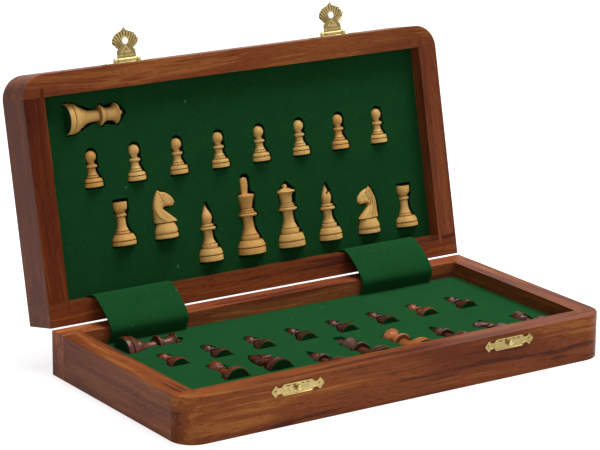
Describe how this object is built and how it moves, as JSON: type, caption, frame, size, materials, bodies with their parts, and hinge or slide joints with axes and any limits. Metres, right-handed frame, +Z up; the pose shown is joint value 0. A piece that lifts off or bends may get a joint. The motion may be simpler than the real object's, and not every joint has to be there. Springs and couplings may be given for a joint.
{
  "type": "folding chess box",
  "caption": "Folding wooden chess box with a hinged lid, brass hasps, felt-lined trays and two sets of turned chessmen lying in shaped recesses.",
  "frame": {"origin": "middle of the base tray's underside, on the table", "axes": "+X along the hinge and the long side, +Y towards the hinge at the back, +Z up"},
  "size_m": [0.305, 0.2163, 0.1985],
  "materials": {
    "rail_wood": "orange-brown sheesham with dark streaks, thin satin lacquer",
    "plywood": "bare plywood",
    "dark_veneer": "dark sheesham veneer, satin lacquer",
    "light_veneer": "pale boxwood or maple veneer, satin lacquer",
    "recess_lining": "wood-fibre board dyed and flocked dark green inside the recesses",
    "green_felt": "short matte wool felt",
    "brass": "thin stamped brass, slightly dull",
    "light_men_wood": "turned boxwood, waxed",
    "dark_men_wood": "turned sheesham, waxed"
  },
  "bodies": {
    "base": {"base_front_rail": "rail_wood", "base_hinge_rail": "rail_wood", "base_side_rails": "rail_wood", "base_board_panel": "plywood", "base_dark_squares": "dark_veneer", "base_light_squares": "light_veneer", "base_insert": "recess_lining", "base_felt": "green_felt", "hinge_base_leaves": "brass", "hinge_pins": "brass", "hinge_flaps": "green_felt", "catch_plates": "brass", "catch_knobs": "brass"},
    "lid": {"lid_front_rail": "rail_wood", "lid_hinge_rail": "rail_wood", "lid_side_rails": "rail_wood", "lid_board_panel": "plywood", "lid_dark_squares": "dark_veneer", "lid_light_squares": "light_veneer", "lid_insert": "recess_lining", "lid_felt": "green_felt", "hinge_lid_leaves": "brass", "hasp_plates": "brass", "hasp_pins": "brass"},
    "left_hasp": {"left_hasp": "brass"},
    "right_hasp": {"right_hasp": "brass"},
    "dark_pawn_1": {"dark_pawn_1": "dark_men_wood"},
    "dark_pawn_2": {"dark_pawn_2": "dark_men_wood"},
    "dark_pawn_3": {"dark_pawn_3": "dark_men_wood"},
    "dark_pawn_4": {"dark_pawn_4": "dark_men_wood"},
    "dark_pawn_5": {"dark_pawn_5": "dark_men_wood"},
    "dark_pawn_6": {"dark_pawn_6": "dark_men_wood"},
    "dark_pawn_7": {"dark_pawn_7": "dark_men_wood"},
    "dark_pawn_8": {"dark_pawn_8": "dark_men_wood"},
    "dark_left_rook": {"dark_left_rook": "dark_men_wood"},
    "dark_left_knight": {"dark_left_knight": "dark_men_wood"},
    "dark_left_bishop": {"dark_left_bishop": "dark_men_wood"},
    "dark_king": {"dark_king": "dark_men_wood"},
    "dark_queen": {"dark_queen": "dark_men_wood"},
    "dark_right_bishop": {"dark_right_bishop": "dark_men_wood"},
    "dark_right_knight": {"dark_right_knight": "dark_men_wood"},
    "dark_right_rook": {"dark_right_rook": "dark_men_wood"},
    "dark_spare_queen": {"dark_spare_queen": "dark_men_wood"},
    "light_pawn_1": {"light_pawn_1": "light_men_wood"},
    "light_pawn_2": {"light_pawn_2": "light_men_wood"},
    "light_pawn_3": {"light_pawn_3": "light_men_wood"},
    "light_pawn_4": {"light_pawn_4": "light_men_wood"},
    "light_pawn_5": {"light_pawn_5": "light_men_wood"},
    "light_pawn_6": {"light_pawn_6": "light_men_wood"},
    "light_pawn_7": {"light_pawn_7": "light_men_wood"},
    "light_pawn_8": {"light_pawn_8": "light_men_wood"},
    "light_left_rook": {"light_left_rook": "light_men_wood"},
    "light_left_knight": {"light_left_knight": "light_men_wood"},
    "light_left_bishop": {"light_left_bishop": "light_men_wood"},
    "light_king": {"light_king": "light_men_wood"},
    "light_queen": {"light_queen": "light_men_wood"},
    "light_right_bishop": {"light_right_bishop": "light_men_wood"},
    "light_right_knight": {"light_right_knight": "light_men_wood"},
    "light_right_rook": {"light_right_rook": "light_men_wood"},
    "light_spare_queen": {"light_spare_queen": "light_men_wood"}
  },
  "joints": [
    {"name": "hinge_lid", "type": "hinge", "parent": "base", "child": "lid", "pos_m": [0, 0.07665, 0.0287], "axis": [-1, 0, 0], "range_deg": [-102.2, 77.8], "deforming": ["hinge_flaps"]},
    {"name": "hinge_left_hasp", "type": "hinge", "parent": "lid", "child": "left_hasp", "pos_m": [-0.07625, 0.11468, 0.17906], "axis": [-1, 0, 0], "range_deg": [-90, 90]},
    {"name": "hinge_right_hasp", "type": "hinge", "parent": "lid", "child": "right_hasp", "pos_m": [0.07625, 0.11468, 0.17906], "axis": [-1, 0, 0], "range_deg": [-90, 90]},
    {"name": "lift_dark_pawn_1", "type": "slide", "parent": "base", "child": "dark_pawn_1", "axis": [0, 0, 1], "range_m": [0, 0.03]},
    {"name": "lift_dark_pawn_2", "type": "slide", "parent": "base", "child": "dark_pawn_2", "axis": [0, 0, 1], "range_m": [0, 0.03]},
    {"name": "lift_dark_pawn_3", "type": "slide", "parent": "base", "child": "dark_pawn_3", "axis": [0, 0, 1], "range_m": [0, 0.03]},
    {"name": "lift_dark_pawn_4", "type": "slide", "parent": "base", "child": "dark_pawn_4", "axis": [0, 0, 1], "range_m": [0, 0.03]},
    {"name": "lift_dark_pawn_5", "type": "slide", "parent": "base", "child": "dark_pawn_5", "axis": [0, 0, 1], "range_m": [0, 0.03]},
    {"name": "lift_dark_pawn_6", "type": "slide", "parent": "base", "child": "dark_pawn_6", "axis": [0, 0, 1], "range_m": [0, 0.03]},
    {"name": "lift_dark_pawn_7", "type": "slide", "parent": "base", "child": "dark_pawn_7", "axis": [0, 0, 1], "range_m": [0, 0.03]},
    {"name": "lift_dark_pawn_8", "type": "slide", "parent": "base", "child": "dark_pawn_8", "axis": [0, 0, 1], "range_m": [0, 0.03]},
    {"name": "lift_dark_left_rook", "type": "slide", "parent": "base", "child": "dark_left_rook", "axis": [0, 0, 1], "range_m": [0, 0.03]},
    {"name": "lift_dark_left_knight", "type": "slide", "parent": "base", "child": "dark_left_knight", "axis": [0, 0, 1], "range_m": [0, 0.03]},
    {"name": "lift_dark_left_bishop", "type": "slide", "parent": "base", "child": "dark_left_bishop", "axis": [0, 0, 1], "range_m": [0, 0.03]},
    {"name": "lift_dark_king", "type": "slide", "parent": "base", "child": "dark_king", "axis": [0, 0, 1], "range_m": [0, 0.03]},
    {"name": "lift_dark_queen", "type": "slide", "parent": "base", "child": "dark_queen", "axis": [0, 0, 1], "range_m": [0, 0.03]},
    {"name": "lift_dark_right_bishop", "type": "slide", "parent": "base", "child": "dark_right_bishop", "axis": [0, 0, 1], "range_m": [0, 0.03]},
    {"name": "lift_dark_right_knight", "type": "slide", "parent": "base", "child": "dark_right_knight", "axis": [0, 0, 1], "range_m": [0, 0.03]},
    {"name": "lift_dark_right_rook", "type": "slide", "parent": "base", "child": "dark_right_rook", "axis": [0, 0, 1], "range_m": [0, 0.03]},
    {"name": "lift_dark_spare_queen", "type": "slide", "parent": "base", "child": "dark_spare_queen", "axis": [0, 0, 1], "range_m": [0, 0.03]},
    {"name": "lift_light_pawn_1", "type": "slide", "parent": "lid", "child": "light_pawn_1", "axis": [0, -0.9774, 0.2113], "range_m": [0, 0.03]},
    {"name": "lift_light_pawn_2", "type": "slide", "parent": "lid", "child": "light_pawn_2", "axis": [0, -0.9774, 0.2113], "range_m": [0, 0.03]},
    {"name": "lift_light_pawn_3", "type": "slide", "parent": "lid", "child": "light_pawn_3", "axis": [0, -0.9774, 0.2113], "range_m": [0, 0.03]},
    {"name": "lift_light_pawn_4", "type": "slide", "parent": "lid", "child": "light_pawn_4", "axis": [0, -0.9774, 0.2113], "range_m": [0, 0.03]},
    {"name": "lift_light_pawn_5", "type": "slide", "parent": "lid", "child": "light_pawn_5", "axis": [0, -0.9774, 0.2113], "range_m": [0, 0.03]},
    {"name": "lift_light_pawn_6", "type": "slide", "parent": "lid", "child": "light_pawn_6", "axis": [0, -0.9774, 0.2113], "range_m": [0, 0.03]},
    {"name": "lift_light_pawn_7", "type": "slide", "parent": "lid", "child": "light_pawn_7", "axis": [0, -0.9774, 0.2113], "range_m": [0, 0.03]},
    {"name": "lift_light_pawn_8", "type": "slide", "parent": "lid", "child": "light_pawn_8", "axis": [0, -0.9774, 0.2113], "range_m": [0, 0.03]},
    {"name": "lift_light_left_rook", "type": "slide", "parent": "lid", "child": "light_left_rook", "axis": [0, -0.9774, 0.2113], "range_m": [0, 0.03]},
    {"name": "lift_light_left_knight", "type": "slide", "parent": "lid", "child": "light_left_knight", "axis": [0, -0.9774, 0.2113], "range_m": [0, 0.03]},
    {"name": "lift_light_left_bishop", "type": "slide", "parent": "lid", "child": "light_left_bishop", "axis": [0, -0.9774, 0.2113], "range_m": [0, 0.03]},
    {"name": "lift_light_king", "type": "slide", "parent": "lid", "child": "light_king", "axis": [0, -0.9774, 0.2113], "range_m": [0, 0.03]},
    {"name": "lift_light_queen", "type": "slide", "parent": "lid", "child": "light_queen", "axis": [0, -0.9774, 0.2113], "range_m": [0, 0.03]},
    {"name": "lift_light_right_bishop", "type": "slide", "parent": "lid", "child": "light_right_bishop", "axis": [0, -0.9774, 0.2113], "range_m": [0, 0.03]},
    {"name": "lift_light_right_knight", "type": "slide", "parent": "lid", "child": "light_right_knight", "axis": [0, -0.9774, 0.2113], "range_m": [0, 0.03]},
    {"name": "lift_light_right_rook", "type": "slide", "parent": "lid", "child": "light_right_rook", "axis": [0, -0.9774, 0.2113], "range_m": [0, 0.03]},
    {"name": "lift_light_spare_queen", "type": "slide", "parent": "lid", "child": "light_spare_queen", "axis": [0, -0.9774, 0.2113], "range_m": [0, 0.03]}
  ]
}
